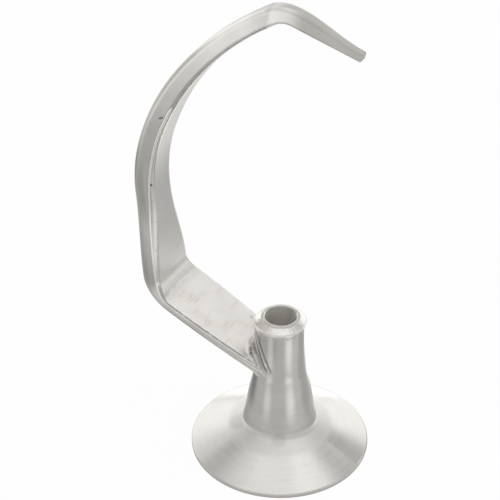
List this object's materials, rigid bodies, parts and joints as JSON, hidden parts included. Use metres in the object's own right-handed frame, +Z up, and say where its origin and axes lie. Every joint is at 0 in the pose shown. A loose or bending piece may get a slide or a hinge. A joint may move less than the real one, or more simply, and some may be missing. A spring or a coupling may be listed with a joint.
{
  "type": "stand mixer dough hook",
  "caption": "Cast aluminium dough hook: a bored neck on a flared bell carries a flat arm that bends into a tapering C-shaped bar with a pointed tip, for kneading in a planetary mixer.",
  "frame": {"origin": "on the axis of the bore at the bell's open end, level with the rim that it stands on", "axes": "+Z up along the bore, away from the mixer's head; the hook lies in the XZ plane, its arm toward -X and its tip toward +X"},
  "size_m": [0.1529, 0.11, 0.3126],
  "materials": {
    "cast_aluminium": "satin, ground and brushed"
  },
  "bodies": {
    "root": {"dough_hook": "cast_aluminium"}
  },
  "joints": []
}
